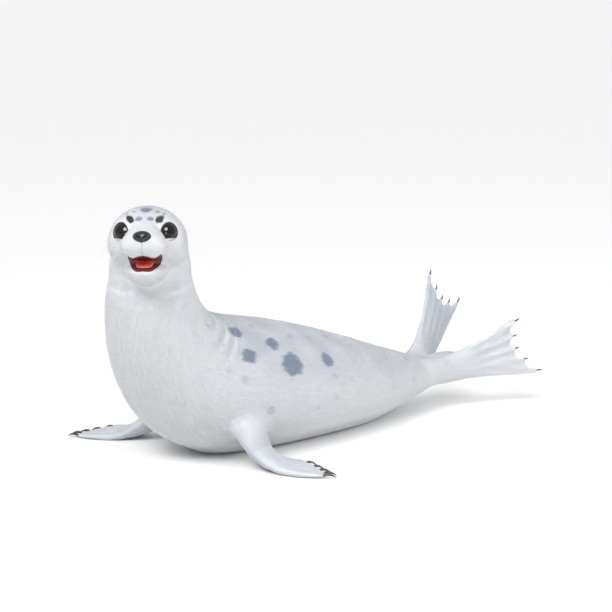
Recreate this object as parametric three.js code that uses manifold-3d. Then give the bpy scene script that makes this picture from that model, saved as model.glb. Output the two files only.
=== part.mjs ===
// A young spotted seal, about a year old, lying on its belly with its neck raised and its head
// turned to its left. The mouth is a little open, the right fore flipper reaches out ahead, the left
// one is folded back, and the hind flippers are lifted, the right one straight up.
//
// Millimetres. +X runs from the tail to the chest, +Y to the animal's left and +Z up from the floor.
// The origin is on the floor, under the middle of the ribs, where the belly lies flat.
//
// The body is one loft from the rump to the muzzle, parted by thin cuts into the pieces that a person
// would name. The jaw, flippers, tail, tongue and claws are lofts too, cut to meet what they grow from.
import * as THREE from "three";
import { mergeVertices } from "three/addons/utils/BufferGeometryUtils.js";
import Module from "manifold-3d";

const wasm = await Module();
wasm.setup();

// ---- Driving dimensions -----------------------------------------------------------------------

const GAP = 0.4; // clearance that parts one piece from the next
const AROUND = 34; // points round the body
const RINGS_PER_STATION = 2; // rings between one station of the body and the next

const HEAD_AT = new THREE.Vector3(258, 46, 434); // middle of the braincase
const HEAD_YAW = 52; // degrees that the face is turned to the animal's left
const HEAD_PITCH = 8; // degrees that the face is lifted
const HEAD_SIZE = 1.06; // a young animal's head, against the dimensions that are given for it below

const EYE_RADIUS = 20;
const EYE_AT = { ahead: 38, aside: 33.5, above: 12.5 }; // from the middle of the braincase

// Points round each small piece, and rings from one of its stations to the next
const FINENESS = {
  jaw: [18, 2],
  tongue: [12, 2],
  tail: [12, 6],
  claw: [6, 1],
  ball: [14, 8],
  nostril: [8, 4],
};

// ---- Small helpers ----------------------------------------------------------------------------

const vec = (x, y, z) => new THREE.Vector3(x, y, z);
const radians = THREE.MathUtils.degToRad;
const lerp = THREE.MathUtils.lerp;
const smoothstep = THREE.MathUtils.smoothstep;

/** A smooth curve through points, each of three numbers or a vector. */
function through(points) {
  const vectors = points.map((p) => (p.isVector3 ? p : vec(...p)));
  return new THREE.CatmullRomCurve3(vectors, false, "centripetal");
}

/** The directions ahead, to the left and towards the back of something that faces yaw and pitch. */
function facing(yaw, pitch) {
  const [y, p] = [radians(yaw), radians(pitch)];
  return {
    ahead: vec(Math.cos(y) * Math.cos(p), Math.sin(y) * Math.cos(p), Math.sin(p)),
    left: vec(-Math.sin(y), Math.cos(y), 0),
    dorsal: vec(-Math.cos(y) * Math.sin(p), -Math.sin(y) * Math.sin(p), Math.cos(p)),
  };
}

const HEAD = facing(HEAD_YAW, HEAD_PITCH);

/** A step in the head's own axes (ahead, left, up) turned into the body's axes. */
function headWay(x, y, z) {
  return vec(0, 0, 0)
    .addScaledVector(HEAD.ahead, x * HEAD_SIZE)
    .addScaledVector(HEAD.left, y * HEAD_SIZE)
    .addScaledVector(HEAD.dorsal, z * HEAD_SIZE);
}

/** A point in the head's own axes turned into the body's axes. */
const headPoint = (x, y, z) => headWay(x, y, z).add(HEAD_AT);

/** A point of the body's axes as (ahead, left, up) of the head. */
function inHead(point) {
  const d = point.clone().sub(HEAD_AT).divideScalar(HEAD_SIZE);
  return vec(d.dot(HEAD.ahead), d.dot(HEAD.left), d.dot(HEAD.dorsal));
}

/** The triangles of a flat cap over an even ring whose point k lies across from point count - k. */
function cap(first, count, reversed) {
  const faces = [];
  for (let k = 0; k < count / 2; k++) {
    const [a, b, c, d] = [k, k + 1, count - k - 1, (count - k) % count].map((i) => first + i);
    if (b !== c) faces.push([a, b, c]);
    if (a !== d) faces.push([a, c, d]);
  }
  return (reversed ? faces.map((f) => f.toReversed()) : faces).flat();
}

/** Closes rings of points, each ring of the same even length, into one surface with flat ends. */
function loft(rings) {
  const count = rings[0].length;
  const last = (rings.length - 1) * count;
  const faces = [...cap(0, count, true), ...cap(last, count, false)];
  for (let r = 0; r + 1 < rings.length; r++)
    for (let k = 0; k < count; k++) {
      const [a, b] = [r * count + k, r * count + ((k + 1) % count)];
      faces.push(a, b, b + count, a, b + count, a + count);
    }
  return new THREE.BufferGeometry().setFromPoints(rings.flat()).setIndex(faces);
}

/** A three.js geometry as a manifold-3d solid, turned right side out if its rings ran the other way. */
function solid(geometry) {
  const bare = new THREE.BufferGeometry().setAttribute("position", geometry.getAttribute("position"));
  const merged = mergeVertices(bare.setIndex(geometry.index), 1e-3);
  const triVerts = new Uint32Array(merged.index.array);
  const vertProperties = merged.attributes.position.array;
  const made = new wasm.Manifold(new wasm.Mesh({ numProp: 3, vertProperties, triVerts }));
  if (made.volume() > 0) return made;
  for (let i = 0; i < triVerts.length; i += 3)
    [triVerts[i + 1], triVerts[i + 2]] = [triVerts[i + 2], triVerts[i + 1]];
  return new wasm.Manifold(new wasm.Mesh({ numProp: 3, vertProperties, triVerts }));
}

/** The part of a solid on the side of a plane that its normal points to, short of it by half a gap. */
function beyond(whole, plane) {
  const n = plane.normal;
  return whole.trimByPlane([n.x, n.y, n.z], plane.at.dot(n) + GAP / 2);
}

const turned = (plane) => ({ at: plane.at, normal: plane.normal.clone().negate() });

// ---- Body -------------------------------------------------------------------------------------

// Each station is one cross-section: its middle, the way it faces, half its width, and its reach
// towards the back and towards the belly. They run from the rump up to the tip of the muzzle.
const TRUNK_STATIONS = [
  { name: "rump_end", at: [-512, 0, 78], yaw: 0, pitch: -4, half: 17, up: 13, down: 14 },
  { name: "rump", at: [-488, 0, 78], yaw: 0, pitch: -4, half: 40, up: 28, down: 31 },
  { name: "haunch", at: [-440, 0, 76], yaw: 0, pitch: 0, half: 55, up: 42, down: 46 },
  { name: "hips", at: [-365, 0, 76], yaw: 0, pitch: 2, half: 76, up: 66, down: 66 },
  { name: "loins", at: [-262, 0, 84], yaw: 0, pitch: 3, half: 108, up: 94, down: 90 },
  { name: "belly", at: [-135, 0, 94], yaw: 0, pitch: 5, half: 134, up: 126, down: 102 },
  { name: "ribs", at: [-20, 0, 108], yaw: 0, pitch: 9, half: 145, up: 142, down: 118 },
  { name: "chest", at: [75, 0, 128], yaw: 2, pitch: 18, half: 144, up: 142, down: 136 },
  { name: "shoulders", at: [148, 1, 168], yaw: 5, pitch: 36, half: 132, up: 128, down: 136 },
  { name: "neck_base", at: [196, 6, 220], yaw: 14, pitch: 55, half: 117, up: 108, down: 116 },
  { name: "neck", at: [228, 16, 286], yaw: 31, pitch: 71, half: 98, up: 91, down: 95 },
];

// The same, in the head's own axes: ahead of the braincase's middle, above it, and the turn down
// towards the neck. Ahead of the jaw's hinge they end at the upper lip.
const HEAD_STATIONS = [
  { name: "nape", ahead: -36, above: -90, bend: 70, half: 81, up: 86, down: 66 },
  { name: "occiput", ahead: -35, above: -52, bend: 50, half: 73, up: 75, down: 62 },
  { name: "crown", ahead: -25, above: -22, bend: 30, half: 68, up: 70, down: 62 },
  { name: "ears", ahead: -9, above: -4, bend: 14, half: 69, up: 65, down: 61 },
  { name: "cheeks", ahead: 9, above: 0, bend: 4, half: 67, up: 60, down: 58 },
  { name: "brow", ahead: 26, above: 1, bend: 0, half: 62, up: 54, down: 53 },
  { name: "eyes", ahead: 42, above: 1, bend: 0, half: 54, up: 46, down: 41 },
  { name: "bridge", ahead: 56, above: -2, bend: 0, half: 45, up: 37, down: 29 },
  { name: "muzzle_root", ahead: 69, above: -5, bend: 0, half: 39, up: 31, down: 23 },
  { name: "whisker_pads", ahead: 82, above: -6, bend: 0, half: 36, up: 27, down: 21 },
  { name: "nostrils", ahead: 94, above: -6, bend: 0, half: 30, up: 22, down: 18 },
  { name: "nose_tip", ahead: 102, above: -5, bend: 0, half: 19, up: 15, down: 12 },
  { name: "nose_end", ahead: 105, above: -5, bend: 0, half: 7, up: 6, down: 5 },
];

// Where the head swells or sinks from those sections: a place, a push and a reach, all in the head's
// own axes. Each is made on both sides.
const HEAD_SWELLS = [
  { name: "whisker_pad", at: [84, 25, -11], push: [3, 7, -3], reach: 17 },
  { name: "cheek", at: [22, 62, -22], push: [0, 5, -2], reach: 26 },
  { name: "brow_ridge", at: [40, 32, 38], push: [3, 3, 4], reach: 13 },
  { name: "eye_hollow", at: [60, 40, 12], push: [-3, -5, 0], reach: 13 },
  { name: "muzzle_side", at: [62, 44, -8], push: [0, -3, 0], reach: 14 },
];

function stationCurves() {
  const head = HEAD_STATIONS.map((s) => ({
    name: s.name,
    at: headPoint(s.ahead, 0, s.above).toArray(),
    yaw: HEAD_YAW,
    pitch: HEAD_PITCH + s.bend,
    half: s.half * HEAD_SIZE,
    up: s.up * HEAD_SIZE,
    down: s.down * HEAD_SIZE,
  }));
  const all = [...TRUNK_STATIONS, ...head];
  return {
    count: all.length,
    indexOf: (name) => all.findIndex((s) => s.name === name),
    middle: through(all.map((s) => s.at)),
    turn: through(all.map((s) => [s.yaw, s.pitch, 0])),
    size: through(all.map((s) => [s.half, s.up, s.down])),
  };
}

const STATIONS = stationCurves();

/** The section of the body at a place along it, counted in stations from the rump. */
function sectionAt(place) {
  const t = place / (STATIONS.count - 1);
  const turn = STATIONS.turn.getPoint(t);
  const size = STATIONS.size.getPoint(t);
  return { at: STATIONS.middle.getPoint(t), way: facing(turn.x, turn.y), size };
}

/** Pushes a point of the head's surface as the swells do. */
function swollen(point) {
  const p = inHead(point);
  const side = Math.sign(p.y) || 1;
  const push = vec(0, 0, 0);
  for (const s of HEAD_SWELLS) {
    const far = Math.hypot(p.x - s.at[0], p.y - side * s.at[1], p.z - s.at[2]) / s.reach;
    push.add(vec(s.push[0], side * s.push[1], s.push[2]).multiplyScalar(Math.exp(-far * far)));
  }
  return point.clone().add(headWay(...push.toArray()));
}

/** One ring of the body's surface, grown outwards by so many millimetres. */
function bodyRing(place, grow) {
  const { at, way, size } = sectionAt(place);
  return Array.from({ length: AROUND }, (_, k) => {
    const angle = (2 * Math.PI * k) / AROUND;
    const aside = (size.x + grow) * Math.cos(angle);
    const reach = (Math.sin(angle) > 0 ? size.y : size.z) + grow;
    const point = at.clone();
    point.addScaledVector(way.left, aside).addScaledVector(way.dorsal, reach * Math.sin(angle));
    return onFloor(swollen(point), grow);
  });
}

/** What would sink into the floor lies flat on it instead. */
const onFloor = (point, grow) => point.setZ(Math.max(point.z, -grow));

function bodyLoft(grow = 0) {
  const steps = (STATIONS.count - 1) * RINGS_PER_STATION;
  const rings = Array.from({ length: steps + 1 }, (_, i) => bodyRing(i / RINGS_PER_STATION, grow));
  return solid(loft(rings));
}

/** A cutting plane across the body at a named station, moved by a share of the way to the next. */
function across(name, share = 0) {
  const { at, way } = sectionAt(STATIONS.indexOf(name) + share);
  return { at, normal: way.ahead };
}

// ---- Lower jaw and tongue ---------------------------------------------------------------------

const JAW_STATIONS = [
  { ahead: 0, above: -42, half: 38, up: 10, down: 34 },
  { ahead: 26, above: -47, half: 38, up: 12, down: 32 },
  { ahead: 46, above: -49, half: 34, up: 12, down: 25 },
  { ahead: 60, above: -51, half: 29, up: 10, down: 18 },
  { ahead: 73, above: -53, half: 23, up: 8, down: 13 },
  { ahead: 83, above: -54, half: 15, up: 6, down: 8 },
  { ahead: 87, above: -54, half: 7, up: 3, down: 4 },
];
const TONGUE_STATIONS = [
  { ahead: 30, above: -36, half: 13, up: 5, down: 5 },
  { ahead: 44, above: -37, half: 16, up: 6, down: 6 },
  { ahead: 60, above: -41, half: 15, up: 5, down: 5 },
  { ahead: 72, above: -44, half: 12, up: 4, down: 4 },
  { ahead: 78, above: -46, half: 6, up: 2, down: 2 },
];

/** A loft along the head's own ahead direction, through stations of the kind above. */
function headLoft(stations, [around, ringsPerStation], grow = 0) {
  const middle = through(stations.map((s) => [s.ahead, 0, s.above]));
  const size = through(stations.map((s) => [s.half, s.up, s.down]));
  const steps = (stations.length - 1) * ringsPerStation;
  const rings = Array.from({ length: steps + 1 }, (_, i) => {
    const [m, r] = [middle.getPoint(i / steps), size.getPoint(i / steps)];
    return Array.from({ length: around }, (_, k) => {
      const angle = (2 * Math.PI * k) / around;
      const reach = (Math.sin(angle) > 0 ? r.y : r.z) + grow;
      const end = i === 0 ? -grow : i === steps ? grow : 0;
      return headPoint(m.x + end, (r.x + grow) * Math.cos(angle), m.z + reach * Math.sin(angle));
    });
  });
  return solid(loft(rings));
}

// ---- Nose and eyes ----------------------------------------------------------------------------

const NOSE = { at: [95, 0, 5.5], half: [14, 16, 11] };
const NOSTRIL = { ahead: 108, aside: 7.5, above: 7.5, half: [6, 6.5, 2.4], slant: 32 };

/** A sphere stretched to half-sizes along the head's axes and rolled about the way it looks. */
function headEllipsoid(at, half, roll = 0, fineness = FINENESS.ball) {
  const ball = new THREE.SphereGeometry(HEAD_SIZE, ...fineness);
  ball.applyMatrix4(new THREE.Matrix4().makeScale(...half));
  ball.applyMatrix4(new THREE.Matrix4().makeRotationX(radians(roll)));
  const axes = new THREE.Matrix4().makeBasis(HEAD.ahead, HEAD.left, HEAD.dorsal);
  ball.applyMatrix4(axes.setPosition(headPoint(...at)));
  return solid(ball);
}

const nosePad = (grow = 0) => headEllipsoid(NOSE.at, NOSE.half.map((h) => h + grow));

function nostril(side) {
  const at = [NOSTRIL.ahead, side * NOSTRIL.aside, NOSTRIL.above];
  return headEllipsoid(at, NOSTRIL.half, side * NOSTRIL.slant, FINENESS.nostril);
}

function eyeball(side, grow = 0) {
  const at = [EYE_AT.ahead, side * EYE_AT.aside, EYE_AT.above];
  return headEllipsoid(at, Array(3).fill(EYE_RADIUS + grow));
}

// ---- Flippers ---------------------------------------------------------------------------------

// Shares of the blade's half-width where the surface has a point: the five digits, the web between
// them, and both edges. The last digit is the leading one.
const DIGITS = [-0.84, -0.42, 0, 0.42, 0.84];
const WEBS = [-0.63, -0.21, 0.21, 0.63];
const COLUMNS = [-1, ...DIGITS, ...WEBS, 1].sort((a, b) => a - b);

// Half the width and half the thickness at each point of the limb's line, how far each digit reaches
// as a share of the longest, how far the web falls short of them, and where the limb becomes a blade.
const FORE = {
  half: [38, 36, 33, 38, 42, 34],
  thick: [32, 27, 18, 11, 7.5, 4.5],
  digits: [0.76, 0.85, 0.93, 0.99, 1],
  web: 0.06,
  bladeFrom: 0.42,
  grounded: true,
  claw: { long: 18, radius: 3, rise: 2.4, drop: 3 },
};
const HIND = {
  half: [31, 31, 34, 46, 60, 74],
  thick: [22, 20, 14, 9, 6, 3.5],
  digits: [0.93, 0.87, 0.86, 0.91, 1],
  web: 0.05,
  bladeFrom: 0.4,
  grounded: false,
  claw: { long: 9, radius: 2, rise: 1.2, drop: 1 },
};

// Each limb's line from inside the body to the tip, and the way its leading edge points there.
const FLIPPERS = {
  foreflipper_right: {
    ...FORE,
    line: [
      [100, -58, 104], [116, -112, 76], [146, -150, 28],
      [176, -184, 10.5], [208, -222, 7], [236, -256, 5],
    ],
    edge: [
      [1, 0.1, 0.3], [1, 0.1, 0.3], [0.85, 0.5, 0.1],
      [0.77, 0.64, 0], [0.77, 0.64, 0], [0.77, 0.64, 0],
    ],
  },
  foreflipper_left: {
    ...FORE,
    line: [
      [80, 66, 104], [90, 118, 76], [86, 158, 28],
      [66, 198, 10.5], [38, 238, 7], [12, 270, 5],
    ],
    edge: [
      [1, 0, 0.3], [1, 0, 0.3], [0.9, 0.4, 0.1],
      [0.79, 0.61, 0], [0.77, 0.64, 0], [0.77, 0.64, 0],
    ],
  },
  hindflipper_right: {
    ...HIND,
    line: [
      [-418, -25, 82], [-468, -37, 88], [-510, -48, 116],
      [-540, -56, 156], [-566, -63, 200], [-590, -70, 244],
    ],
    edge: [
      [0.2, 0, 1], [0.6, 0, 1], [1, 0, 0.4],
      [1, 0.1, 0.25], [1, 0.15, 0.2], [1, 0.15, 0.2],
    ],
  },
  hindflipper_left: {
    ...HIND,
    line: [
      [-418, 25, 80], [-474, 38, 82], [-526, 56, 92],
      [-576, 78, 105], [-622, 100, 118], [-666, 122, 132],
    ],
    edge: [
      [0, 0, -1], [0, 0, -1], [-0.1, 0.1, -1],
      [-0.1, 0.1, -1], [-0.15, 0.15, -1], [-0.15, 0.15, -1],
    ],
  },
};
const FLIPPER_RINGS = 10;

/** How far down the blade a column runs, as a share of the longest digit. */
function columnReach(share, { digits, web }) {
  if (Math.abs(share) === 1) return digits[share < 0 ? 0 : 4] - web / 2;
  const k = DIGITS.indexOf(share);
  if (k >= 0) return digits[k];
  const before = DIGITS.filter((d) => d < share).length - 1;
  return (digits[before] + digits[before + 1]) / 2 - web;
}

const BLADE_RUN = 0.3; // share of the limb over which it flattens into the blade
const WEB_THIN = 0.55; // thickness of the web, and of the tips, against that of the digits
const TIP_THIN = 0.45;

/** The point of a flipper in a column, a share along it and a share of its thickness up. */
function flipperPoint(flipper, curves, share, along, up, grow = 0) {
  const blade = smoothstep(along, flipper.bladeFrom, flipper.bladeFrom + BLADE_RUN);
  const t = along * (1 - (1 - columnReach(share, flipper)) * smoothstep(along, flipper.bladeFrom, 1));
  const [at, edge, size] = curves.map((c) => c.getPoint(t));
  const way = curves[0].getTangent(t);
  const across = edge.addScaledVector(way, -edge.dot(way)).normalize();
  const normal = vec(0, 0, 0).crossVectors(way, across).normalize();
  normal.multiplyScalar(Math.sign(flipper.grounded ? normal.z : normal.y) || 1);
  const round = Math.sqrt(1 - share * share);
  const flat = Math.sqrt(1 - Math.pow(Math.abs(share), 6));
  const webbed = WEBS.includes(share) ? lerp(1, WEB_THIN, blade) : 1;
  const atEnd = along >= 1;
  const high = size.y * lerp(round, flat, blade) * webbed * (atEnd ? TIP_THIN : 1);
  at.addScaledVector(across, (size.x + grow) * share).addScaledVector(way, atEnd ? grow : 0);
  return at.addScaledVector(normal, up * (high + grow));
}

const flipperCurves = ({ line, edge, half, thick }) => [
  through(line),
  through(edge),
  through(half.map((h, i) => [h, thick[i], 0])),
];

/** A limb that flattens into a webbed blade with five digits. */
function flipperLoft(flipper, grow = 0) {
  const curves = flipperCurves(flipper);
  const rings = Array.from({ length: FLIPPER_RINGS + 1 }, (_, i) => {
    const along = i / FLIPPER_RINGS;
    const place = (share, up) => flipperPoint(flipper, curves, share, along, up, grow);
    const top = COLUMNS.map((share) => place(share, Math.abs(share) === 1 ? 0 : 1));
    const bottom = COLUMNS.slice(1, -1).reverse().map((share) => place(share, -1));
    const ring = [...top, ...bottom];
    return flipper.grounded ? ring.map((p) => onFloor(p, grow)) : ring;
  });
  return solid(loft(rings));
}

const SLANT = vec(0.31, 0.17, 0.93); // a direction that no claw runs along
const CLAW_TAPER = [1, 0.85, 0.12];

/** A round rod along a curve through points, with a radius at each. */
function taperingRod(points, radii, [around, ringsPerPoint]) {
  const steps = (points.length - 1) * ringsPerPoint;
  const [line, size] = [through(points), through(radii.map((r) => [r, 0, 0]))];
  const rings = Array.from({ length: steps + 1 }, (_, i) => {
    const [at, way] = [line.getPoint(i / steps), line.getTangent(i / steps)];
    const across = vec(0, 0, 0).crossVectors(way, SLANT).normalize();
    const up = vec(0, 0, 0).crossVectors(across, way);
    return Array.from({ length: around }, (_, k) => {
      const angle = (2 * Math.PI * k) / around;
      const r = size.getPoint(i / steps).x;
      const point = at.clone().addScaledVector(across, r * Math.cos(angle));
      return point.addScaledVector(up, r * Math.sin(angle));
    });
  });
  return solid(loft(rings));
}

/** The claw at the end of a digit: out along it, a little up, then hooked down. */
function clawSolid(flipper, share) {
  const curves = flipperCurves(flipper);
  const tip = flipperPoint(flipper, curves, share, 1, 0);
  const before = flipperPoint(flipper, curves, share, 0.9, 0);
  const above = flipperPoint(flipper, curves, share, 0.9, 1);
  const way = tip.clone().sub(before).normalize();
  const up = above.sub(before).normalize();
  const { long, radius, rise, drop } = flipper.claw;
  const place = (ahead, high) => tip.clone().addScaledVector(way, ahead).addScaledVector(up, high);
  const line = [place(-0.4 * long, 0.4 * rise), place(0.4 * long, rise), place(long, -drop)];
  return taperingRod(line, CLAW_TAPER.map((share) => radius * share), FINENESS.claw);
}

// ---- Tail -------------------------------------------------------------------------------------

const TAIL_LINE = [[-462, 0, 90], [-492, 0, 100], [-520, 0, 104], [-546, 0, 104], [-562, 0, 102]];
const TAIL_HALF = [24, 22, 19, 13, 5];
const TAIL_THICK = [12, 9, 7, 5, 2.5];

function tailLoft() {
  const [line, size] = [through(TAIL_LINE), through(TAIL_HALF.map((h, i) => [h, TAIL_THICK[i], 0]))];
  const [around, steps] = FINENESS.tail;
  const rings = Array.from({ length: steps + 1 }, (_, i) => {
    const [at, r] = [line.getPoint(i / steps), size.getPoint(i / steps)];
    return Array.from({ length: around }, (_, k) => {
      const angle = (2 * Math.PI * k) / around;
      return at.clone().add(vec(0, r.x * Math.cos(angle), r.y * Math.sin(angle)));
    });
  });
  return solid(loft(rings));
}

// ---- Parting the whole into its pieces --------------------------------------------------------

const MATERIALS = {
  coat: { color: 0xdfe2e6, roughness: 0.75, metalness: 0 },
  eye: { color: 0x14100d, roughness: 0.08, metalness: 0 },
  nose: { color: 0x1b1b1d, roughness: 0.4, metalness: 0 },
  tongue: { color: 0xd9736b, roughness: 0.35, metalness: 0 },
  claw: { color: 0x3a332c, roughness: 0.45, metalness: 0 },
};
for (const [name, look] of Object.entries(MATERIALS))
  MATERIALS[name] = new THREE.MeshStandardMaterial({ name, ...look });

const pieces = new THREE.Group();
pieces.name = "spotted_seal";

function addPiece(name, made, material) {
  const largest = made.decompose().sort((a, b) => b.volume() - a.volume())[0];
  const { vertProperties, triVerts, numProp } = largest.getMesh();
  const geometry = new THREE.BufferGeometry();
  const stride = new THREE.InterleavedBuffer(vertProperties, numProp);
  geometry.setAttribute("position", new THREE.InterleavedBufferAttribute(stride, 3, 0));
  geometry.setIndex(new THREE.BufferAttribute(triVerts, 1));
  const mesh = new THREE.Mesh(geometry, MATERIALS[material]);
  mesh.name = name;
  pieces.add(mesh);
}

const body = bodyLoft();
const bodyGrown = bodyLoft(GAP);

function addTrunk(hipCut, ribCut, shoulderCut, napeCut) {
  addPiece("hips", beyond(body, turned(hipCut)), "coat");
  addPiece("belly", beyond(beyond(body, hipCut), turned(ribCut)), "coat");
  addPiece("chest", beyond(beyond(body, ribCut), turned(shoulderCut)), "coat");
  addPiece("neck", beyond(beyond(body, shoulderCut), turned(napeCut)), "coat");
}

function addHead(napeCut) {
  const sockets = eyeball(1, GAP).add(eyeball(-1, GAP));
  addPiece("head", beyond(body, napeCut).subtract(nosePad(GAP)).subtract(sockets), "coat");
  addPiece("nose", nosePad().subtract(nostril(1)).subtract(nostril(-1)), "nose");
  addPiece("eye_left", eyeball(1), "eye");
  addPiece("eye_right", eyeball(-1), "eye");
}

function addMouth() {
  addPiece("lower_jaw", headLoft(JAW_STATIONS, FINENESS.jaw).subtract(bodyGrown), "coat");
  const flesh = headLoft(JAW_STATIONS, FINENESS.jaw, GAP).add(bodyGrown);
  addPiece("tongue", headLoft(TONGUE_STATIONS, FINENESS.tongue).subtract(flesh), "tongue");
}

/** Adds a flipper and its claws, numbered from the leading digit, and returns it grown by the gap. */
function addFlipper(name, flipper) {
  const grown = flipperLoft(flipper, GAP);
  const limb = flipperLoft(flipper).subtract(bodyGrown);
  addPiece(name, limb, "coat");
  DIGITS.toReversed().forEach((share, k) => {
    const claw = clawSolid(flipper, share).subtract(grown).subtract(limb);
    addPiece(`${name.replace("flipper", "claw")}_${k + 1}`, claw, "claw");
  });
  return grown;
}

const napeCut = across("occiput");
addTrunk(across("hips", 0.5), across("belly", 0.95), across("shoulders", 0.5), napeCut);
addHead(napeCut);
addMouth();
const limbs = Object.entries(FLIPPERS).map(([name, flipper]) => addFlipper(name, flipper));
addPiece("tail", limbs.reduce((left, limb) => left.subtract(limb), tailLoft().subtract(bodyGrown)), "coat");

export default pieces;
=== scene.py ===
import math

import bmesh
import bpy
import numpy as np
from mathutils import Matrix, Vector
from mathutils.bvhtree import BVHTree


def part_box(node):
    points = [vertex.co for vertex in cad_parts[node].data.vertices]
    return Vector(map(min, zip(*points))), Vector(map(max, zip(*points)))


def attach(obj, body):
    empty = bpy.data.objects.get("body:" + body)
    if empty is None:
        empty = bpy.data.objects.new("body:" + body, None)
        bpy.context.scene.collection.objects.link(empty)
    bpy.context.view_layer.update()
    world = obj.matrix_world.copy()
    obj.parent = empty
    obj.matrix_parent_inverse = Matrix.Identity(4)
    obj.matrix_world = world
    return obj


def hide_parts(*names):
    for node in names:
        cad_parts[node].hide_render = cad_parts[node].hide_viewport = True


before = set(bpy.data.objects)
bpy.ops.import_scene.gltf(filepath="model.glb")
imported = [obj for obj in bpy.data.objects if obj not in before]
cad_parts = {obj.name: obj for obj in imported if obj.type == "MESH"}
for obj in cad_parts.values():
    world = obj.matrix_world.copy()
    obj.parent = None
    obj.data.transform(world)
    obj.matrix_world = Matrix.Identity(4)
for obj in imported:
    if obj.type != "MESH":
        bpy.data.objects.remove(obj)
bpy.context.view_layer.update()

# ---------------------------------------------------------------------------------------------
# The hide: one skin over trunk, neck, head, jaw, flippers and tail, with no seam between them.
# A young seal's skin is thick and fatty, so it is smooth and taut over the trunk, rolls up
# where the neck bends back, and is thin over the flipper bones and round the eyes and mouth.

TRUNK = ("hips", "belly", "chest", "neck")
HEAD = ("head", "lower_jaw")
FORE = ("foreflipper_right", "foreflipper_left")
HIND = ("hindflipper_right", "hindflipper_left")
LIMBS = FORE + HIND + ("tail",)
FLESH = TRUNK + HEAD + LIMBS
EYES = ("eye_left", "eye_right")
SWELL = 0.001  # closes the hairline cuts between the solids
HIDE_GRAIN = 0.0025  # from one point of the skin to the next
COAT_DEPTH = {"trunk": 0.0028, "head": 0.0013, "limb": 0.0007}  # how far inside the solids the skin lies
FLOOR_GAP = 0.0004  # between the floor and the skin that rests on it

HEAD_TURN = math.radians(52)  # to the seal's left
HEAD_NOD = math.radians(8)  # nose up
AHEAD = np.array((
    math.cos(HEAD_TURN) * math.cos(HEAD_NOD), math.sin(HEAD_TURN) * math.cos(HEAD_NOD),
    math.sin(HEAD_NOD)))
LEFT = np.array((-math.sin(HEAD_TURN), math.cos(HEAD_TURN), 0.0))
DORSAL = np.cross(AHEAD, LEFT)
EYES_AHEAD = 0.0403  # of the middle of the head
EYES_ABOVE = 0.0133


def box_middle(node):
    low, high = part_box(node)
    return np.array((low + high) / 2)


def box_half(node):
    low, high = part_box(node)
    return max((high - low) / 2)


def unit(rows):
    return rows / np.maximum(np.linalg.norm(rows, axis=-1, keepdims=True), 1e-12)


def ramp(values, start, end):
    """0 before start, 1 after end, and an even turn between them. Start may be the higher one."""
    t = np.clip((values - start) / (end - start), 0.0, 1.0)
    return t * t * (3 - 2 * t)


def hump(gap, reach):
    """1 at no gap, 0.37 at the reach, and next to nothing at twice the reach."""
    return np.exp(-((gap / reach) ** 2))


HEAD_AT = (box_middle("eye_left") + box_middle("eye_right")) / 2 - EYES_AHEAD * AHEAD - EYES_ABOVE * DORSAL


def head_place(points):
    """How far ahead, to the left and above each point is on the head, from its middle."""
    return (points - HEAD_AT) @ np.stack([AHEAD, LEFT, DORSAL], 1)


def on_head(ahead, aside, above):
    return HEAD_AT + ahead * AHEAD + aside * LEFT + above * DORSAL


def mesh_of(name, shape):
    """A mesh of that name from a bmesh, which isn't needed after that."""
    mesh = bpy.data.meshes.new(name)
    shape.to_mesh(mesh)
    shape.free()
    return mesh


def in_scene(name, data):
    """A new object of that name and data, linked to the scene."""
    holder = bpy.data.objects.new(name, data)
    bpy.context.scene.collection.objects.link(holder)
    return holder


def final_mesh(carrier):
    """The mesh that an object comes to, which takes the object's place."""
    graph = bpy.context.evaluated_depsgraph_get()
    mesh = bpy.data.meshes.new_from_object(carrier.evaluated_get(graph))
    bpy.data.objects.remove(carrier)
    return mesh


def gather_solids(names, swell):
    """One mesh of the named solids, each merged and swollen along its own normals."""
    gathered = bmesh.new()
    for name in names:
        solid = bmesh.new()
        solid.from_mesh(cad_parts[name].data)
        bmesh.ops.remove_doubles(solid, verts=solid.verts, dist=1e-5)
        solid.normal_update()
        for vert in solid.verts:
            vert.co += vert.normal * swell
        swollen = mesh_of(name + "_swollen", solid)
        gathered.from_mesh(swollen)
        bpy.data.meshes.remove(swollen)
    return mesh_of("gathered", gathered)


def reshaped(mesh, kind, weights=None, **settings):
    """The mesh after one modifier, with weights as its vertex group where it takes one."""
    carrier = in_scene("carrier", mesh)
    modifier = carrier.modifiers.new(kind, kind)
    carrier.vertex_groups.clear()
    if weights is not None:
        group = carrier.vertex_groups.new(name="share")
        for level in np.unique(weights):
            group.add(np.nonzero(weights == level)[0].tolist(), float(level), "REPLACE")
        modifier.vertex_group = "share"
    for key, value in settings.items():
        setattr(modifier, key, value)
    return final_mesh(carrier)


def remeshed(names, swell, grain):
    """One closed mesh over the named solids, with its points that far apart."""
    return reshaped(gather_solids(names, swell), "REMESH", mode="VOXEL", voxel_size=grain)


def read_rows(items, field, columns=3, kind=np.float32):
    """The numbers that each item holds in that field, one row an item."""
    flat = np.empty(len(items) * columns, kind)
    items.foreach_get(field, flat)
    return flat.reshape(-1, columns)


def read_points(mesh):
    return read_rows(mesh.vertices, "co").astype(float)


def read_normals(mesh):
    return read_rows(mesh.vertex_normals, "vector").astype(float)


def move_points(mesh, points):
    mesh.vertices.foreach_set("co", points.astype(np.float32).ravel())
    mesh.update()


def neighbours(mesh):
    """For each point in turn, the points that its edges lead to, where its run starts, and how many."""
    pairs = read_rows(mesh.edges, "vertices", 2, np.int32)
    starts = np.concatenate([pairs[:, 0], pairs[:, 1]])
    ends = np.concatenate([pairs[:, 1], pairs[:, 0]])
    order = np.argsort(starts, kind="stable")
    counts = np.bincount(starts, minlength=len(mesh.vertices))
    return ends[order], np.cumsum(counts) - counts, counts[:, None]


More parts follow.
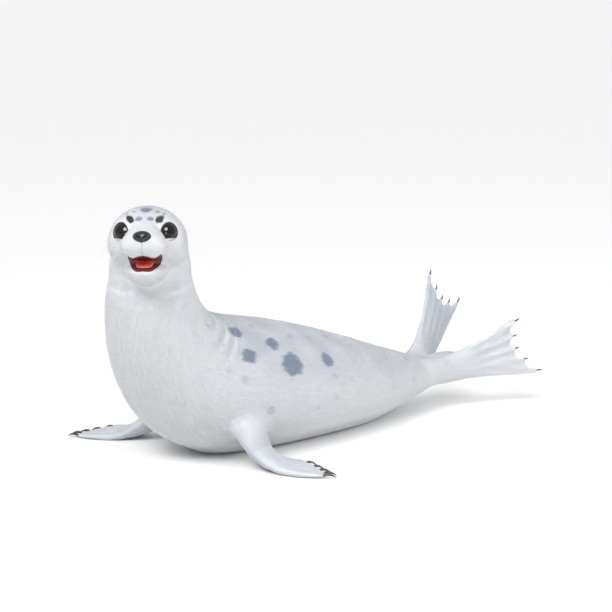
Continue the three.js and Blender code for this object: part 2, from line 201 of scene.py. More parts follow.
def evened(values, links, rounds, share=0.5):
    """The values after that many rounds of moving a share of the way to their neighbours' mean."""
    ends, firsts, counts = links
    for _ in range(rounds):
        mean = np.add.reduceat(values[ends], firsts, axis=0) / counts
        values = values + share * (mean - values)
    return values


def evened_along(points, links, rounds, rim):
    """The points after that many rounds of moving along the rim's own line, where rim is high."""
    ends, firsts, _ = links
    total = np.add.reduceat(rim[ends], firsts, axis=0)
    for _ in range(rounds):
        mean = np.add.reduceat((points * rim)[ends], firsts, axis=0) / total
        points = points + 0.5 * np.clip(rim * 1.4, 0, 1) * (mean - points)
    return points


def bending(normals, links, rounds):
    """How far the skin bends round within that many steps of each point, from 0 where it is flat."""
    return 1 - np.linalg.norm(evened(normals, links, rounds), axis=1)


def node_tree(names):
    """A search tree of the named solids' faces, and which of the names each face belongs to."""
    corners = []
    faces = []
    owners = []
    for index, name in enumerate(names):
        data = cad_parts[name].data
        first = len(corners)
        corners.extend(vert.co for vert in data.vertices)
        faces.extend([first + corner for corner in face.vertices] for face in data.polygons)
        owners.extend([index] * len(data.polygons))
    return BVHTree.FromPolygons(corners, faces), owners


PARTS = FLESH + EYES + ("nose",)
parts_tree, parts_owners = node_tree(PARTS)


def part_shares(points, links, rounds):
    """How much each point belongs to each part: one column a part, blended over the joins."""
    shares = np.zeros((len(points), len(PARTS)))
    for row, point in enumerate(points):
        shares[row, parts_owners[parts_tree.find_nearest(point)[2]]] = 1
    return evened(shares, links, rounds)


def share_of(shares, names):
    return sum(shares[:, PARTS.index(name)] for name in names)


def refined(mesh, wanted):
    """The mesh with each face cut in four where wanted says so of its middle."""
    fine = bmesh.new()
    fine.from_mesh(mesh)
    fine.faces.ensure_lookup_table()
    middles = np.array([face.calc_center_median() for face in fine.faces])
    chosen = np.nonzero(wanted(middles))[0]
    edges = list(dict.fromkeys(edge for index in chosen for edge in fine.faces[index].edges))
    bmesh.ops.subdivide_edges(fine, edges=edges, cuts=1, use_grid_fill=True)
    fine.to_mesh(mesh)
    fine.free()
    return mesh


EYE_ASIDE = math.radians(38)  # of straight ahead
EYE_RAISE = 0.22
EYE_SLANT = math.radians(7)  # the outer corner sits higher
EYE_OPEN_WIDE = math.radians(45)  # half of the opening, as seen from the eye's middle
EYE_OPEN_HIGH = math.radians(43)
EYE_CORNER = 0.10  # how far the inner corner runs out
SOCKET = 0.84  # of the radius: how far out the skin lies behind the eyeball
LID = 0.0014  # thickness of the lid's edge over the eyeball
LID_TURN = math.radians(6)  # the stretch over which the edge rolls in
LID_BLEND = math.radians(34)
LID_CLEAR = 0.0012  # between the eyeball and the skin over it
LID_FOLD = 0.0011  # depth of the crease round the lids, deepest over the upper one
FOLD_AT = math.radians(15)
FOLD_HALF = math.radians(3.5)
FOLD_UNDER = 0.35  # how deep the crease is under the eye, as a share of that over it
LID_REACH = (1.80, 1.45)  # of the radius: skin farther from the eye's middle is the muzzle's and stays
LID_BACK = 0.6  # of the radius: skin farther back than that stays too
LID_SEAT = 1.005  # of the radius: where the lid's edge touches the eyeball


def eye_setting(name):
    """An eye's middle, radius, and the three axes of the opening of its lids."""
    sign = 1 if name == "eye_left" else -1
    aim = unit(AHEAD * math.cos(EYE_ASIDE) + sign * LEFT * math.sin(EYE_ASIDE) + DORSAL * EYE_RAISE)
    outward = unit(sign * LEFT - aim * np.dot(aim, sign * LEFT))
    upward = unit(DORSAL - aim * np.dot(aim, DORSAL) - outward * np.dot(outward, DORSAL))
    slant_out = outward * math.cos(EYE_SLANT) + upward * math.sin(EYE_SLANT)
    slant_up = upward * math.cos(EYE_SLANT) - outward * math.sin(EYE_SLANT)
    return box_middle(name), box_half(name), aim, slant_out, slant_up


EYE_SETTINGS = [eye_setting(name) for name in EYES]


def past_lid(points, setting):
    """How far each point is past the edge of the lids in radians, below zero in the opening,
    its distance from the eye's middle, and its way round from the outer corner."""
    middle, _, aim, outward, upward = setting
    rays = points - middle
    distance = np.linalg.norm(rays, axis=1)
    off_aim = np.arccos(np.clip(rays @ aim / np.maximum(distance, 1e-9), -1, 1))
    turn = np.arctan2(rays @ upward, rays @ outward)
    opening = 1 / np.sqrt((np.cos(turn) / EYE_OPEN_WIDE) ** 2 + (np.sin(turn) / EYE_OPEN_HIGH) ** 2)
    opening = opening * (1 + EYE_CORNER * np.maximum(0, -np.cos(turn)) ** 10)
    return off_aim - opening, distance, turn


def open_lids(points):
    """Presses the skin behind the eyeball inside the opening, and rolls it into lids round it."""
    for setting in EYE_SETTINGS:
        middle, radius, aim, _, _ = setting
        past, distance, turn = past_lid(points, setting)
        near = ramp(distance, radius * LID_REACH[0], radius * LID_REACH[1])
        near = near * ((points - middle) @ aim > -radius * LID_BACK)
        rolled = np.sqrt(1 - (1 - np.clip(past / LID_TURN, 0, 1)) ** 2)
        lid = radius * (SOCKET + (LID_SEAT - SOCKET) * ramp(past, -LID_TURN, 0)) + LID * rolled
        fold = LID_FOLD * hump(past - FOLD_AT, FOLD_HALF)
        fold = fold * (FOLD_UNDER + (1 - FOLD_UNDER) * ramp(np.sin(turn), -0.2, 0.6))
        blend = ramp(past, LID_TURN, LID_TURN + LID_BLEND)
        wanted = np.where(past < LID_TURN, lid, lid + (distance - lid) * blend)
        wanted = np.where(past > LID_TURN, np.maximum(wanted, radius + LID_CLEAR) - fold, wanted)
        rays = (points - middle) / distance[:, None]
        points = points + rays * ((wanted - distance) * near)[:, None]
    return points


def swell_at(points, normals, place, reach, height):
    """A soft bulge, or a hollow where the height is below zero."""
    gap = np.linalg.norm(points - place, axis=1)
    return points + normals * (height * hump(gap, reach))[:, None]


# The midlines of the trunk and of each limb, from which the lie of the coat and the places of
# its spots are told: how far along, and how far round from the back towards the left side.


def curve_through(corners, steps):
    """Points on one smooth curve through the corners, the same number on every stretch."""
    corners = np.array(corners, float)
    ends = 2 * corners[0] - corners[1], 2 * corners[-1] - corners[-2]
    padded = np.vstack([ends[0], corners, ends[1]])
    t = (np.arange(steps) / steps)[:, None]
    stretches = [
        0.5 * (2 * b + (c - a) * t + (2 * a - 5 * b + 4 * c - d) * t**2 + (3 * b - a - 3 * c + d) * t**3)
        for a, b, c, d in zip(padded, padded[1:], padded[2:], padded[3:])]
    return np.vstack(stretches + [corners[-1:]])


class Midline:
    """A smooth line through the corners, with the left and the upper side at each of its points."""

    def __init__(self, corners, left_at_start, left_at_end):
        self.points = curve_through(corners, 10)
        self.ways = unit(np.gradient(self.points, axis=0))
        turn = ramp(np.linspace(0, 1, len(self.points)), 0.5, 1.0)[:, None]
        left = (1 - turn) * np.array(left_at_start, float) + turn * np.array(left_at_end, float)
        self.left = unit(left - self.ways * (left * self.ways).sum(1, keepdims=True))
        self.upper = np.cross(self.ways, self.left)
        gaps = np.linalg.norm(np.diff(self.points, axis=0), axis=1)
        self.travel = np.concatenate([[0], np.cumsum(gaps)])

    def place(self, points):
        """The nearest sample, the distance along, and the turn round the line of each point."""
        gaps = (self.points**2).sum(1)[None, :] - 2 * points @ self.points.T
        nearest = np.argmin(gaps, axis=1)
        rays = points - self.points[nearest]
        along = self.travel[nearest] + (rays * self.ways[nearest]).sum(1)
        turn = np.arctan2((rays * self.left[nearest]).sum(1), (rays * self.upper[nearest]).sum(1))
        return nearest, along, turn

    def out(self, along, turn):
        """The line's point at that distance along, and the way out of it at that turn."""
        index = int(np.argmin(np.abs(self.travel - along)))
        return self.points[index], self.upper[index] * math.cos(turn) + self.left[index] * math.sin(turn)


LEFTWARD = (0, 1, 0)
FORWARD = (1, 0, 0)
TRUNK_LINE = Midline((
    (-0.560, 0, 0.088), (-0.440, 0, 0.076), (-0.262, 0, 0.084), (-0.135, 0, 0.094), (-0.020, 0, 0.108),
    (0.075, 0, 0.128), (0.148, 0.001, 0.168), (0.196, 0.006, 0.220), (0.228, 0.016, 0.286),
    (0.242, 0.030, 0.360), tuple(HEAD_AT)), LEFTWARD, LEFT)
LIMB_LINES = {
    "foreflipper_right": Midline((
        (0.100, -0.058, 0.104), (0.116, -0.112, 0.076), (0.146, -0.150, 0.028), (0.176, -0.184, 0.0105),
        (0.208, -0.222, 0.007), (0.236, -0.256, 0.005)), FORWARD, FORWARD),
    "foreflipper_left": Midline((
        (0.080, 0.066, 0.104), (0.090, 0.118, 0.076), (0.086, 0.158, 0.028), (0.066, 0.198, 0.0105),
        (0.038, 0.238, 0.007), (0.012, 0.270, 0.005)), FORWARD, FORWARD),
    "hindflipper_right": Midline((
        (-0.418, -0.025, 0.082), (-0.468, -0.037, 0.088), (-0.510, -0.048, 0.116), (-0.540, -0.056, 0.156),
        (-0.566, -0.063, 0.200), (-0.590, -0.070, 0.244)), LEFTWARD, LEFTWARD),
    "hindflipper_left": Midline((
        (-0.418, 0.025, 0.080), (-0.474, 0.038, 0.082), (-0.526, 0.056, 0.092), (-0.576, 0.078, 0.105),
        (-0.622, 0.100, 0.118), (-0.666, 0.122, 0.132)), LEFTWARD, LEFTWARD),
    "tail": Midline(((-0.462, 0, 0.090), (-0.510, 0, 0.098), (-0.562, 0, 0.102)), LEFTWARD, LEFTWARD),
}


def waves(points, size, seed):
    """An unpatterned soft field about 1 high, with lumps of that size."""
    draw = np.random.default_rng(seed)
    count = 9
    ways = unit(draw.normal(size=(count, 3))) / (size * draw.uniform(0.7, 1.7, (count, 1)))
    return np.sin(points @ ways.T * 2 * math.pi + draw.uniform(0, 7, count)).sum(1) / math.sqrt(count / 2)


def gap_to_stretch(points, start, end):
    """How far each point is from a straight stretch, and how far along it the nearest place is."""
    reach = end - start
    along = np.clip((points - start) @ reach / (reach @ reach), 0, 1)
    return np.linalg.norm(points - start - along[:, None] * reach, axis=1), along


def neck_rolls(points):
    """Height of the rolls of fat across the nape, where the neck bends back, and of those under the jaw."""
    _, along, turn = TRUNK_LINE.place(points)
    wander = WANDER * waves(points, 0.14, 21)
    nape = np.sin(2 * math.pi * along / NAPE_GAP + wander)
    nape = nape * hump(along - NAPE, NAPE_REACH)
    throat = np.sin(2 * math.pi * along / THROAT_GAP + wander)
    throat = throat * hump(along - THROAT, THROAT_REACH)
    return (NAPE_ROLL * nape * ramp(np.cos(turn), -0.15, 0.7)
            + THROAT_ROLL * throat * ramp(np.cos(turn), 0.1, -0.8))


def fingers(limb):
    """The place of a flipper's wrist, and the names of its claws."""
    line = LIMB_LINES[limb].points
    claws = tuple(f"{limb.replace('flipper', 'claw')}_{finger}" for finger in range(1, 6))
    return line[int(len(line) * WRIST)], claws


def finger_ridges(points, shares):
    """Height of the skin over the five finger bones of each flipper, down to the claws."""
    height = np.zeros(len(points))
    for limb in FORE + HIND:
        wrist, claws = fingers(limb)
        claws = [box_middle(claw) for claw in claws]
        gaps = [gap_to_stretch(points, wrist + (claw - wrist) * 0.1, claw) for claw in claws]
        gap = np.min([gap for gap, _ in gaps], axis=0)
        along = np.max([along for _, along in gaps], axis=0)
        ridge = FINGER_RISE * (hump(gap, FINGER_REACH) - WEB_SINK)
        height += ridge * ramp(along, 0.05, 0.45) * share_of(shares, (limb,))
    return height


NAPE = 0.80  # the middle of the rolls, along the trunk's midline
NAPE_GAP = 0.036  # from one roll to the next
NAPE_REACH = 0.062
NAPE_ROLL = 0.0016  # height
THROAT = 0.955
THROAT_GAP = 0.021
THROAT_REACH = 0.030
THROAT_ROLL = 0.0007
WANDER = 0.9  # how far the rolls stray, in radians of their rise and fall
WRIST = 0.42  # share of the flipper's line
FINGER_RISE = 0.0030
FINGER_REACH = 0.0050
WEB_SINK = 0.35  # of the rise: how far the skin sinks between two fingers
EDGE_STEPS = 12  # how many points away from a web's edge the skin still counts as bent round it
EDGE_KEPT = 0.7  # how much less the skin draws in where a web is thinnest
RIM_STEPS = 3  # the same for the very rim of the web
RIM_ROUNDS = 28
NEAR_STEPS = 24  # the same for the band beside the edge, where the hair is shorter
THINNEST = 0.0016  # a web thinner than this is bare, since hair roots would come out of its far side

# Rounds of evening out: each part of the body is as smooth as the fat and bone under it make it.
PARTS_BLEND = 18  # rounds over which one part's share of the points runs into the next
FACE_BLEND = 8  # the same on the finer mesh of the face
EVEN_ALL = 4
EVEN_HEAD = 11
EVEN_TRUNK = 200
EVEN_JOINS = 70  # where the flippers leave the trunk
LIMB_BLEND = 20
DEPTH_BLEND = 40
EVEN_FINE = 3  # once the face has its finer mesh

hide = remeshed(FLESH + EYES + ("nose",), SWELL, HIDE_GRAIN)
links = neighbours(hide)
points = read_points(hide)
shares = part_shares(points, links, PARTS_BLEND)
trunk_share = ramp(share_of(shares, TRUNK), 0.3, 0.9)[:, None]
head_share = ramp(share_of(shares, ("head", "nose")), 0.5, 1.0)[:, None]
points = evened(points, links, EVEN_ALL)
points = evened(points, links, EVEN_HEAD, 0.5 * np.maximum(trunk_share, head_share))
points = evened(points, links, EVEN_TRUNK, 0.5 * trunk_share)
limb_share = evened(share_of(shares, LIMBS)[:, None], links, LIMB_BLEND)
joins = np.clip(4 * limb_share * (1 - limb_share), 0, 1) ** 2
points = evened(points, links, EVEN_JOINS, 0.5 * joins)
move_points(hide, points)
depth = COAT_DEPTH["limb"] + (COAT_DEPTH["trunk"] - COAT_DEPTH["limb"]) * trunk_share[:, 0]
depth = depth + (COAT_DEPTH["head"] - COAT_DEPTH["limb"]) * head_share[:, 0]
depth = evened(depth[:, None], links, DEPTH_BLEND)[:, 0]
depth = (depth + SWELL - neck_rolls(points) - finger_ridges(points, shares)) * ramp(points[:, 2], 0.0, 0.02)
normals = read_normals(hide)
edge = ramp(bending(normals, links, EDGE_STEPS), 0.15, 0.5)[:, None] * limb_share
points = points - normals * depth[:, None] * (1 - EDGE_KEPT * edge)
rim = ramp(bending(normals, links, RIM_STEPS), 0.05, 0.35)[:, None] ** 2
rim = np.maximum(rim * limb_share, 1e-6)
points = evened_along(points, links, RIM_ROUNDS, rim)
move_points(hide, points)


def on_skin(start, way):
    """Where a ray from outside first meets the body."""
    return np.array(parts_tree.ray_cast(Vector(start), Vector(way))[0])


EARS = [on_skin(on_head(-0.012, sign * 0.2, 0.004), -sign * LEFT) for sign in (1, -1)]


def off_ears(points):
    """How far each point is from the nearer ear hole."""
    return np.minimum(*[np.linalg.norm(points - ear, axis=1) for ear in EARS])


def face_front(points):
    """The front of the head and the ears, which take twice the detail of the trunk."""
    ahead, aside, above = head_place(points).T
    front = (ahead > -0.005) & (np.abs(aside) < 0.085) & (above > -0.072) & (above < 0.06)
    return front | (off_ears(points) < 0.013)


def finest(points):
    """Round the eyes, the ears, the nose and the mouth, which take twice as much again."""
    ahead, aside, above = head_place(points).T
    near_eye = [np.linalg.norm(points - middle, axis=1) < radius * 1.5
                for middle, radius, *_ in EYE_SETTINGS]
    mouth = (ahead > 0.028) & (np.abs(aside) < 0.040) & (above > -0.064) & (above < 0.020)
    return mouth | near_eye[0] | near_eye[1] | (off_ears(points) < 0.008)


hide = refined(hide, face_front)
hide = refined(hide, finest)

links = neighbours(hide)
points = read_points(hide)
shares = part_shares(points, links, FACE_BLEND)
points = evened(points, links, EVEN_FINE)
move_points(hide, points)
normals = read_normals(hide)

FACE_SWELLS = (  # how far ahead, aside and above, how wide, and how high
    ((0.088, 0.0185, -0.013), 0.0135, 0.0028),  # the whisker pads
    ((0.080, 0.0165, -0.031), 0.0115, 0.0042))  # the upper lip, where it hangs over
EAR_HALF = 0.0024  # a true seal's ear is a small hole, with no flap
EAR_DEPTH = 0.0042
LIP_GROOVE_HALF = 0.0016  # from the nose down the middle of the upper lip
LIP_GROOVE_DEPTH = 0.0022
NOSE_BED = 0.0045  # how deep the hide lies behind the nose pad
for sign in (1, -1):
    for (ahead, aside, above), reach, height in FACE_SWELLS:
        points = swell_at(points, normals, on_head(ahead, sign * aside, above), reach, height)
ear_gap = off_ears(points)
for ear in EARS:
    points = swell_at(points, normals, ear, EAR_HALF, -EAR_DEPTH)
ahead, aside, above = head_place(points).T
groove = hump(aside, LIP_GROOVE_HALF) * ramp(ahead, 0.085, 0.095) * ramp(above, 0.002, -0.004)
nose_share = ramp(share_of(shares, ("nose",)), 0.55, 0.95)
points = points - normals * (LIP_GROOVE_DEPTH * groove + NOSE_BED * nose_share)[:, None]
points = open_lids(points)
points[:, 2] = np.maximum(points[:, 2], FLOOR_GAP)
move_points(hide, points)


def triangles_of(mesh):
    mesh.calc_loop_triangles()
    return read_rows(mesh.loop_triangles, "vertices", 3, np.int32)


MOUTH_ABOVE = -0.029  # its middle
MOUTH_HALF = (0.0298, 0.0278)  # of the bare part of the opening, aside and above
MOUTH_ACROSS = 0.05  # the farthest that one wall of the mouth is from another
MOUTH_GAPE = 0.03
WALL_GAP = 0.0012  # off the wall, where the look across the mouth starts
LINING_BLEND = 14


def mouth_lining(points, normals, triangles):
    """1 on the skin inside the mouth, which faces more of it across the opening or lies between
    the jaws at the corners, and 0 elsewhere."""
    ahead, aside, above = head_place(points).T
    near = (ahead > 0.018) & (ahead < 0.099) & (np.abs(aside) < 0.05) & (above > -0.070) & (above < 0.0)
    walls = triangles[near[triangles].all(1)]
    tree = BVHTree.FromPolygons(points.tolist(), walls.tolist())
    lining = np.zeros(len(points))
    off_middle = np.hypot(aside / MOUTH_HALF[0], (above - MOUTH_ABOVE) / MOUTH_HALF[1])
    for row in np.nonzero(near)[0]:
        start = Vector(points[row] + normals[row] * WALL_GAP)
        across = tree.ray_cast(start, Vector(normals[row]), MOUTH_ACROSS)[0]
        over = tree.ray_cast(start, Vector(DORSAL), MOUTH_GAPE)[0]
        under = tree.ray_cast(start, Vector(-DORSAL), MOUTH_GAPE)[0]
        between = over is not None and under is not None
        lining[row] = off_middle[row] < 1 and (across is not None or between)
    return lining


triangles = triangles_of(hide)
normals = read_normals(hide)
lining = evened(mouth_lining(points, normals, triangles)[:, None], links, LINING_BLEND)[:, 0]

# Markings, shared by hide and coat: pale silver all over, blue-grey spots on the crown and on
# the shoulders and back, fainter ones over the flanks, and a dark brow mark over each eye.


def crown_spot(aside, above):
    return on_skin(on_head(0.3, aside, above), -AHEAD)


def trunk_spot(along, turn):
    middle, way = TRUNK_LINE.out(along, math.radians(turn))
    return on_skin(middle + way * 0.4, -way)


CROWN_SPOTS = (  # aside on both sides, above, radius
    (0, 0.0555, 0.0105), (0.0105, 0.0385, 0.0058), (0.0200, 0.0520, 0.0041), (0.0335, 0.0490, 0.0036))
BACK_SPOTS = (  # along the trunk, turn from the back to the left in degrees, radius
    (0.735, 42, 0.014), (0.693, 60, 0.016), (0.600, 43, 0.015), (0.560, 61, 0.024), (0.463, 56, 0.015),
    (0.71, -48, 0.014), (0.66, -68, 0.016), (0.61, -35, 0.013), (0.545, -57, 0.021), (0.47, -42, 0.014))
spots = [(crown_spot(sign * aside, above), radius, 1.0)
         for aside, above, radius in CROWN_SPOTS for sign in ((1, -1) if aside else (1,))]
spots += [(trunk_spot(along, turn), radius, 1.0) for along, turn, radius in BACK_SPOTS]
RAGGED = (0.07, 0.014, 5), (0.04, 0.004, 6)  # how ragged a spot's edge is, over what length, and a seed
SPOT_EDGE = (1.16, 0.82)  # of the radius: where the spot has faded out, and where it is full
FAINT_SPOTS = 90  # tried, and kept where there is room
SPOT_GAP = 0.014  # at least, between the edges of two spots
draw = np.random.default_rng(31)
for _ in range(FAINT_SPOTS):
    spot = trunk_spot(draw.uniform(0.08, 0.86), draw.uniform(-105, 105))
    radius = draw.uniform(0.004, 0.010)
    if all(np.linalg.norm(spot - other) > SPOT_GAP + radius + size for other, size, _ in spots):
        spots.append((spot, radius, draw.uniform(0.14, 0.34)))
BROW_AT = (0.026, 0.037)  # aside and above
BROW_HALF = (0.0088, 0.0055)
BROW_LEAN = math.radians(38)  # the outer end is the higher one


def markings(points):
    """How far each point is a spot, a dark brow mark, and greyer: on the back's saddle, as in life, and
    towards the flipper ends, as a painted shade.
    """
    spot = np.zeros(len(points))
    ragged = sum((height * waves(points, size, kind) for height, size, kind in RAGGED), 1)
    for middle, radius, strength in spots:
        gap = np.linalg.norm(points - middle, axis=1) / radius * ragged
        spot = np.maximum(spot, strength * ramp(gap, *SPOT_EDGE))
    ahead, aside, above = head_place(points).T
    across = np.abs(aside) - BROW_AT[0]
    over = above - BROW_AT[1]
    long = (across * math.cos(BROW_LEAN) + over * math.sin(BROW_LEAN)) / BROW_HALF[0]
    high = (over * math.cos(BROW_LEAN) - across * math.sin(BROW_LEAN)) / BROW_HALF[1]
    brow = ramp(np.hypot(long, high) * ragged, 1.2, 0.75) * (ahead > 0)
    nearest, _, turn = TRUNK_LINE.place(points)
    off_line = np.linalg.norm(points - TRUNK_LINE.points[nearest], axis=1)
    # The back is greyer, as in life. The ends of the flippers are greyer as well, a painted shade.
    saddle_and_flipper_shade = np.maximum(ramp(np.cos(turn), -0.1, 0.9), 0.8 * ramp(off_line, 0.12, 0.19))
    saddle_and_flipper_shade = saddle_and_flipper_shade * (0.8 + 0.2 * waves(points, 0.06, 8))
    return {"spot": spot, "brow": brow, "saddle_and_flipper_shade": np.clip(saddle_and_flipper_shade, 0, 1)}


def put_shares(mesh, values):
    """Stores each named value of the points as an attribute that a material can read."""
    for name, value in values.items():
        layer = mesh.attributes.new(name, "FLOAT", "POINT")
        layer.data.foreach_set("value", np.asarray(value, np.float32))


def linear(hex_colour):
    """The colour of an sRGB hex code as the shader counts it."""
    parts = [int(hex_colour[start:start + 2], 16) / 255 for start in (1, 3, 5)]
    return [part / 12.92 if part <= 0.04045 else ((part + 0.055) / 1.055) ** 2.4 for part in parts] + [1]


def finish_named(name, **sockets):
    """A new material with its shader and those socket values, and the tree to add to."""
    material = bpy.data.materials.new(name)
    material.use_nodes = True
    shader = material.node_tree.nodes["Principled BSDF"]
    for socket, value in sockets.items():
        shader.inputs[socket.replace("_", " ")].default_value = value
    return material, material.node_tree, shader


def feed(tree, node, socket, source):
    """Links a source, given as (node, output), to that socket of the node."""
    tree.links.new(source[0].outputs[source[1]], node.inputs[socket])


def add(tree, kind, values=None, sources=None, **settings):
    """Adds a node with its settings, its socket values, and the sources that feed its sockets."""
    node = tree.nodes.new("ShaderNode" + kind)
    for setting, value in settings.items():
        setattr(node, setting, value)
    for socket, value in (values or {}).items():
        node.inputs[socket].default_value = value
    for socket, source in (sources or {}).items():
        feed(tree, node, socket, source)
    return node


def stored(tree, name):
    """The values that put_shares() gave the points under that name."""
    return add(tree, "Attribute", attribute_name=name), "Fac"


def pattern(tree, kind, millimetres, values=None):
    """A pattern fixed to the piece, whose grain has that real size."""
    place = add(tree, "TexCoord")
    return add(tree, kind, {"Scale": 1000 / millimetres} | (values or {}), {"Vector": (place, "Object")})


def raise_by(tree, shader, height, strength, depth, invert=False):
    """Lets a source raise the surface by up to that depth, or lower it where inverted."""
    bump = add(tree, "Bump", {"Strength": strength, "Distance": depth}, {"Height": height}, invert=invert)
    feed(tree, shader, "Normal", (bump, 0))


def mixed(tree, share, low, high):
    """The colour from low to high as the share rises, each of them a hex code or a source."""
    ends = {6: low, 7: high}
    values = {socket: linear(end) for socket, end in ends.items() if isinstance(end, str)}
    sources = {socket: end for socket, end in ends.items() if not isinstance(end, str)}
    return add(tree, "Mix", values, {0: share} | sources, data_type="RGBA"), 2


def marked_colour(tree, colour, tints):
    """The colour, with each mark's tint laid over it in turn where that mark's share is high."""
    for mark, tint in tints.items():
        colour = mixed(tree, stored(tree, mark), colour, tint)
    return colour


def show(name, mesh, material, nodes=()):
    """The piece of that mesh and finish, smooth, riding on the body in place of its solids."""
    piece = in_scene(name, mesh)
    mesh.materials.clear()
    mesh.materials.append(material)
    mesh.polygons.foreach_set("use_smooth", np.ones(len(mesh.polygons), bool))
    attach(piece, "root")
    if nodes:
        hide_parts(*nodes)
    return piece


# Living hide under thin hair: matt, with the fine pits of the hair roots. The edges of the lids
# and lips are bare and nearly black, and the mouth is lined with dark wet red skin.
skin, tree, shader = finish_named("living_hide", Roughness=0.6)
# The greyer tint lies on the back, as in life, and on the flipper ends as a painted shade.
colour = marked_colour(tree, "#d9dbdf", {
    "saddle_and_flipper_shade": "#c6cbd4", "spot": "#8b94a9", "brow": "#26201e", "rim": "#2a2427", "lining": "#762a27"})
feed(tree, shader, "Base Color", colour)
wet = add(tree, "MapRange", {"To Min": 0.6, "To Max": 0.28}, {"Value": stored(tree, "lining")})
feed(tree, shader, "Roughness", (wet, 0))
# The pits of the hair roots are 0.1 mm wide in life, too fine to show, and drawn 1.1 mm wide.
pits = pattern(tree, "TexNoise", 1.1, {"Detail": 3})
raise_by(tree, shader, (pits, "Fac"), 0.35, 0.0006)

NOT_AN_EYE = 9.0
JUST_INSIDE = 0.0002
past = np.full(len(points), NOT_AN_EYE)
off_eyes = np.full(len(points), NOT_AN_EYE)
for setting in EYE_SETTINGS:
    past_this, distance, _ = past_lid(points, setting)
    past = np.where(distance < setting[1] * 1.2, np.minimum(past, past_this), past)
    off_eyes = np.minimum(off_eyes, distance / setting[1])
lip = ramp(lining, 0.05, 0.25)
close = ramp(off_eyes, 1.20, 1.11)
limb = ramp(share_of(shares, LIMBS), 0.6, 0.9)
turning = bending(normals, links, NEAR_STEPS)
hide_tree = BVHTree.FromPolygons(points.tolist(), triangles.tolist())
thin = np.zeros((len(points), 1))
for row in np.nonzero(limb > 0.5)[0]:
    start = Vector(points[row] - normals[row] * JUST_INSIDE)
    thin[row] = hide_tree.ray_cast(start, Vector(-normals[row]), THINNEST)[0] is not None
thin = ramp(evened(thin, links, 3)[:, 0], 0.05, 0.30)
thin_edge = np.maximum(ramp(turning, 0.32, 0.48), thin) * limb
# Bare skin: the thin edges of the webs, the lids, the nose, the mouth, the ears and the underside.
bare = np.maximum.reduce([
    thin_edge,
    ramp(past, math.radians(8), math.radians(6)) * close, ramp(share_of(shares, ("nose",)), 0.45, 0.75),
    ramp(lining, 0.04, 0.2), ramp(points[:, 2], 0.0035, 0.0015), ramp(ear_gap, 0.0050, 0.0040)])
# Shorter hair: round the eyes and the ears, and near the edges of the webs.
near_edge = np.maximum.reduce([
    ramp(off_eyes, 1.7, 1.15), ramp(ear_gap, 0.011, 0.006), ramp(turning, 0.05, 0.16) * limb])
put_shares(hide, {
    "rim": np.maximum.reduce([ramp(past, math.radians(7), math.radians(4)) * close, lip,
                              ramp(ear_gap, 0.0043, 0.0030), 0.12 * thin_edge]),
    "lining": ramp(lining, 0.80, 0.97)})

# The dense hide carries the hair roots. The piece itself is thinned where it is smooth.
KEPT = (0.15, 0.52, 0.27)  # share of the triangles on the trunk, the limbs and the rest, in that order
UNTHINNED = 3.0  # a zone beside those three, which keeps all of them
zone = np.select([share_of(shares, TRUNK) > 0.5, share_of(shares, LIMBS) > 0.5], [0.0, 1.0], 2.0)
fine_edge = (np.abs(past) < math.radians(22)) | ((lip > 0.02) & (lining < 0.98))
fine_edge = fine_edge | (share_of(shares, ("nose",)) > 0.05) | (ear_gap < 0.007)
zone = np.where(fine_edge, UNTHINNED, zone)


def thinned(mesh, wanted, keep):
    """The mesh with that share of the triangles kept in the wanted zone, and all of them elsewhere."""
    marks = read_rows(mesh.attributes["zone"].data, "value", 1)[:, 0]
    inside = np.abs(marks - wanted) < 0.01
    return reshaped(mesh, "DECIMATE", weights=inside.astype(float), ratio=1 - inside.mean() * (1 - keep))


put_shares(hide, {"zone": zone})
light_hide = hide.copy()
for wanted, keep in enumerate(KEPT):
    light_hide = thinned(light_hide, wanted, keep)
light_hide.attributes.remove(light_hide.attributes["zone"])
put_shares(light_hide, markings(read_points(light_hide)))
show("hide", light_hide, skin, FLESH)

# ---------------------------------------------------------------------------------------------
# The eyes: one large ball in each socket, held by the lids that the hide makes. The pupil is wide
# and almost fills the dark brown iris.

# A film of tears over the clear cornea, whose IOR is 1.376: a sharp gloss over brown black.
eye_finish, tree, shader = finish_named(
    "wet_eye", Roughness=0.05, IOR=1.376, Coat_Weight=0.3, Coat_Roughness=0.015)
turned = stored(tree, "off_aim")
PUPIL_EDGE = (0.42, 0.50)  # how far from the aim of the eye it fades, in radians
IRIS_EDGE = (0.66, 0.74)
# The streaks of the iris are 0.3 mm wide in life, too fine to show, and drawn 2.4 mm wide.
streaks = pattern(tree, "TexNoise", 2.4, {"Detail": 4})
brown = mixed(tree, (streaks, "Fac"), "#0f0806", "#20120b")
pupil = add(tree, "MapRange", {"From Min": PUPIL_EDGE[0], "From Max": PUPIL_EDGE[1]}, {"Value": turned})
iris = mixed(tree, (pupil, 0), "#030303", brown)
outside = add(tree, "MapRange", {"From Min": IRIS_EDGE[0], "From Max": IRIS_EDGE[1]}, {"Value": turned})
feed(tree, shader, "Base Color", mixed(tree, (outside, 0), iris, "#171110"))

CORNEA = 0.02  # bulge of the clear front, as a share of the radius
BALL_FIT = 0.992  # of the solid's radius
for name, (middle, radius, aim, outward, upward) in zip(EYES, EYE_SETTINGS):
    ball = bmesh.new()
    bmesh.ops.create_uvsphere(ball, u_segments=72, v_segments=48, radius=radius * BALL_FIT)
    mesh = mesh_of(name + "_ball", ball)
    local = read_points(mesh)
    front = local[:, 2] / (radius * BALL_FIT)
    local = local * (1 + CORNEA * ramp(front, 0.70, 0.92))[:, None]
    put_shares(mesh, {"off_aim": np.arccos(np.clip(front, -1, 1))})
    placed = local @ np.stack([np.cross(upward, aim), upward, aim]) + middle
    move_points(mesh, placed)
    show(name + "_ball", mesh, eye_finish, (name,))

# ---------------------------------------------------------------------------------------------
# The nose: a black pad of bare leather with two slanting nostrils, grown into the end of the
# muzzle, with a crease down its front to the lip.

